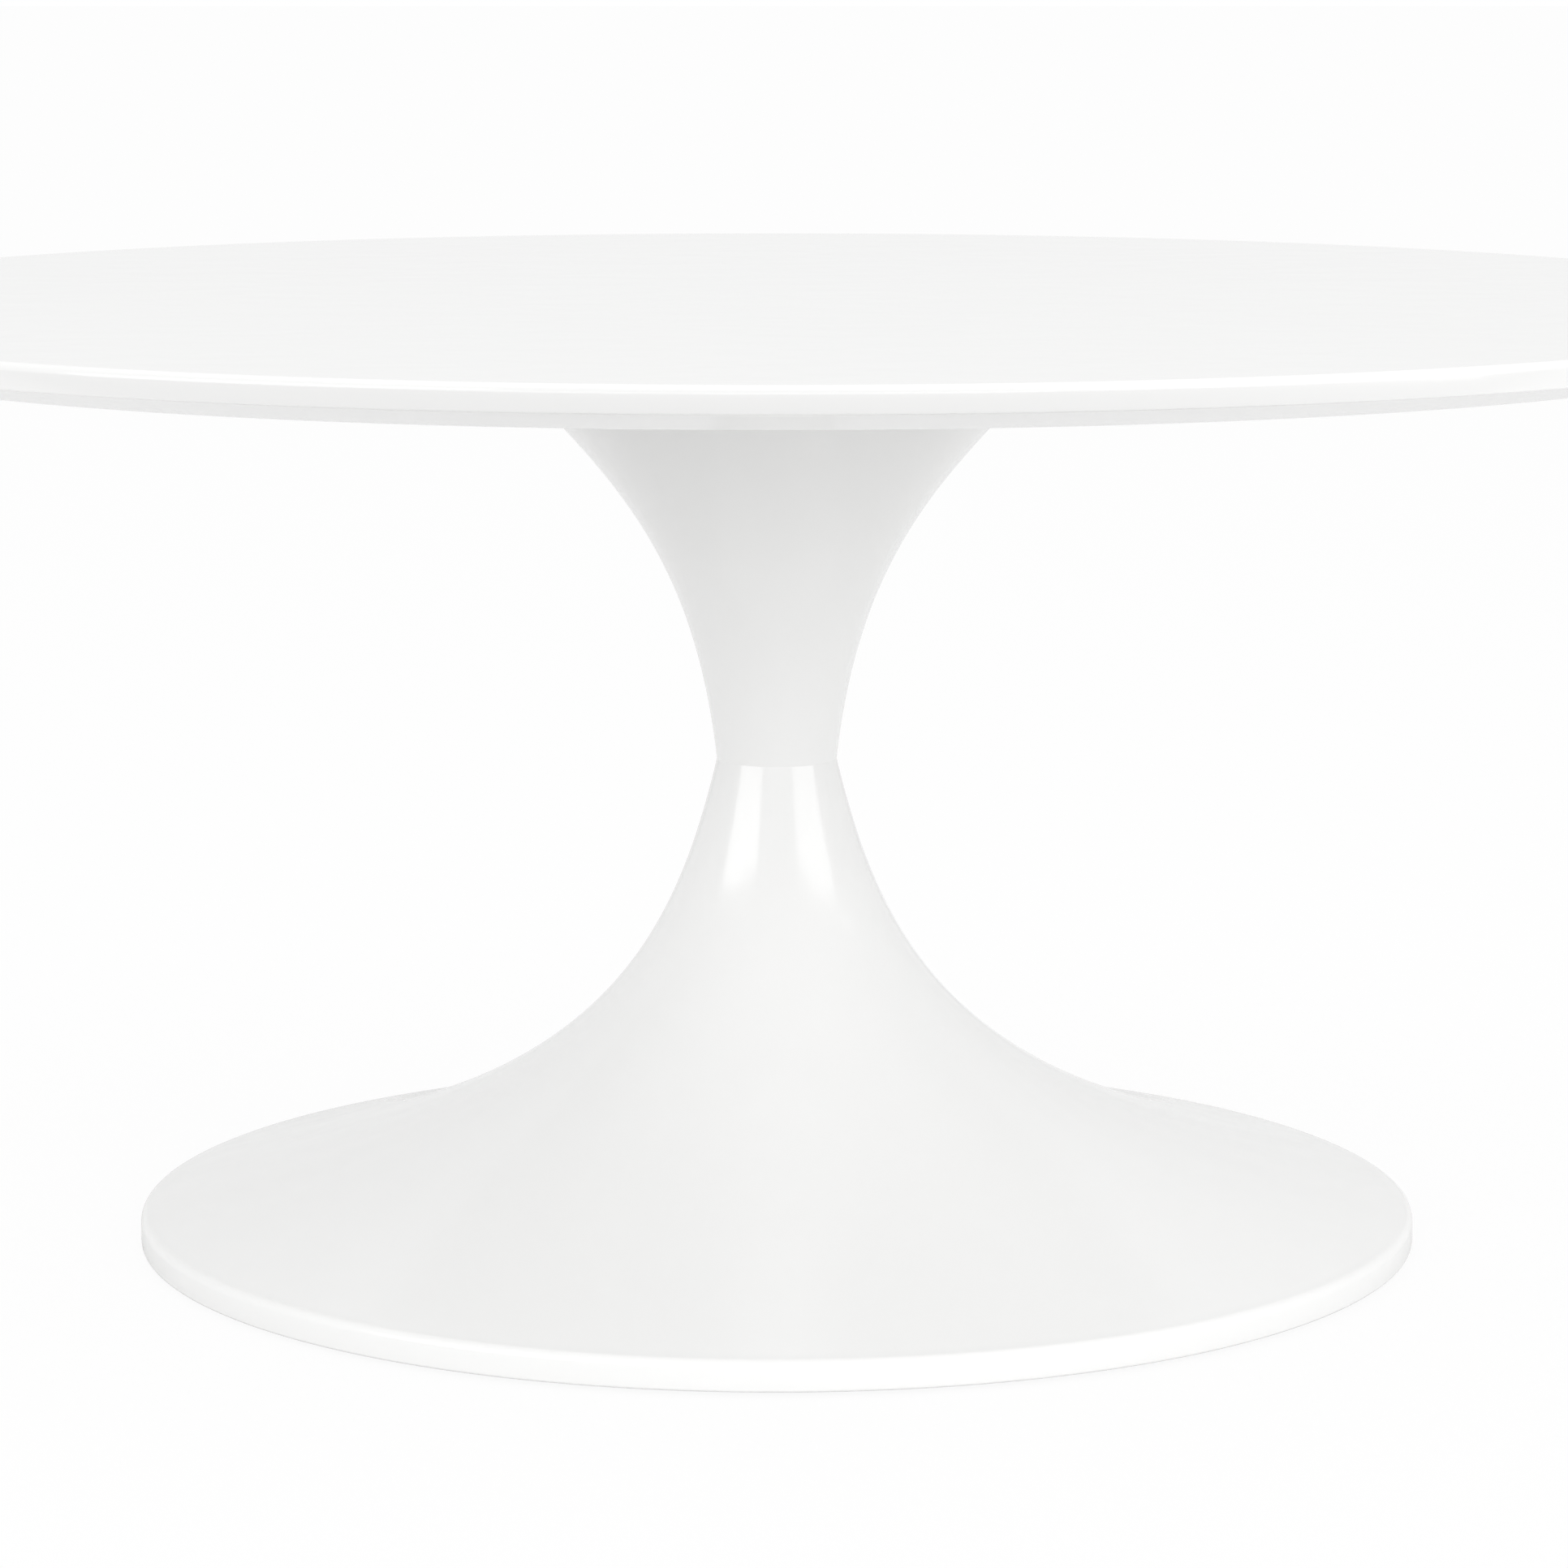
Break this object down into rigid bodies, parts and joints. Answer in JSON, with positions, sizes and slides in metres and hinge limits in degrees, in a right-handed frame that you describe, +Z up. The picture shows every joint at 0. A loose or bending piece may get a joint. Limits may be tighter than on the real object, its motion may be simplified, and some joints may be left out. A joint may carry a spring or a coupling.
{
  "type": "round pedestal table",
  "caption": "Low round table: a bevelled disc top on an hourglass pedestal of two clamped trumpets, with levelling glides under its wide foot.",
  "frame": {"origin": "the point on the floor under the table's axis", "axes": "+Z up along the table's axis, +X to the right and +Y away as one looks at the table"},
  "size_m": [0.8999, 0.9, 0.41],
  "materials": {
    "white_lacquer_top": "gloss",
    "white_lacquer_metal": "gloss",
    "black_coated_steel": "satin",
    "bare_steel": "satin",
    "zinc_plate": "satin",
    "insert_brass": "satin",
    "black_rubber": "matte",
    "black_plastic": "matte",
    "white_nylon": "matte"
  },
  "bodies": {
    "table": {"tabletop": "white_lacquer_top", "threaded_inserts": "insert_brass", "mounting_disc": "black_coated_steel", "rod_boss": "black_coated_steel", "disc_flat_washers": "zinc_plate", "disc_spring_washers": "zinc_plate", "disc_screws": "zinc_plate", "mouth_gasket": "black_rubber", "upper_trumpet": "white_lacquer_metal", "neck_spigot": "bare_steel", "lower_trumpet": "white_lacquer_metal", "tie_rod": "zinc_plate", "base_plate": "black_coated_steel", "clamp_cup": "zinc_plate", "clamp_washer": "zinc_plate", "clamp_spring_washer": "zinc_plate", "clamp_nut": "zinc_plate", "access_cap": "black_plastic", "glide_nuts": "black_coated_steel"},
    "pad_1": {"glide_pad_1": "white_nylon"},
    "stem_1": {"glide_stem_1": "zinc_plate"},
    "pad_2": {"glide_pad_2": "white_nylon"},
    "stem_2": {"glide_stem_2": "zinc_plate"},
    "pad_3": {"glide_pad_3": "white_nylon"},
    "stem_3": {"glide_stem_3": "zinc_plate"},
    "pad_4": {"glide_pad_4": "white_nylon"},
    "stem_4": {"glide_stem_4": "zinc_plate"}
  },
  "joints": [
    {"name": "glide_1_travel", "type": "slide", "parent": "table", "child": "pad_1", "axis": [0, 0, -1], "range_m": [0, 0.006]},
    {"name": "glide_1_turn", "type": "hinge", "parent": "pad_1", "child": "stem_1", "pos_m": [0.14142, 0.14142, 0.012], "axis": [0, 0, -1], "range_deg": [0, 1728]},
    {"name": "glide_2_travel", "type": "slide", "parent": "table", "child": "pad_2", "axis": [0, 0, -1], "range_m": [0, 0.006]},
    {"name": "glide_2_turn", "type": "hinge", "parent": "pad_2", "child": "stem_2", "pos_m": [-0.14142, 0.14142, 0.012], "axis": [0, 0, -1], "range_deg": [0, 1728]},
    {"name": "glide_3_travel", "type": "slide", "parent": "table", "child": "pad_3", "axis": [0, 0, -1], "range_m": [0, 0.006]},
    {"name": "glide_3_turn", "type": "hinge", "parent": "pad_3", "child": "stem_3", "pos_m": [-0.14142, -0.14142, 0.012], "axis": [0, 0, -1], "range_deg": [0, 1728]},
    {"name": "glide_4_travel", "type": "slide", "parent": "table", "child": "pad_4", "axis": [0, 0, -1], "range_m": [0, 0.006]},
    {"name": "glide_4_turn", "type": "hinge", "parent": "pad_4", "child": "stem_4", "pos_m": [0.14142, -0.14142, 0.012], "axis": [0, 0, -1], "range_deg": [0, 1728]}
  ],
  "couplings": [
    {"joint": "glide_1_travel", "follows": "glide_1_turn", "m_per_rad": 0.00019894},
    {"joint": "glide_2_travel", "follows": "glide_2_turn", "m_per_rad": 0.00019894},
    {"joint": "glide_3_travel", "follows": "glide_3_turn", "m_per_rad": 0.00019894},
    {"joint": "glide_4_travel", "follows": "glide_4_turn", "m_per_rad": 0.00019894}
  ]
}
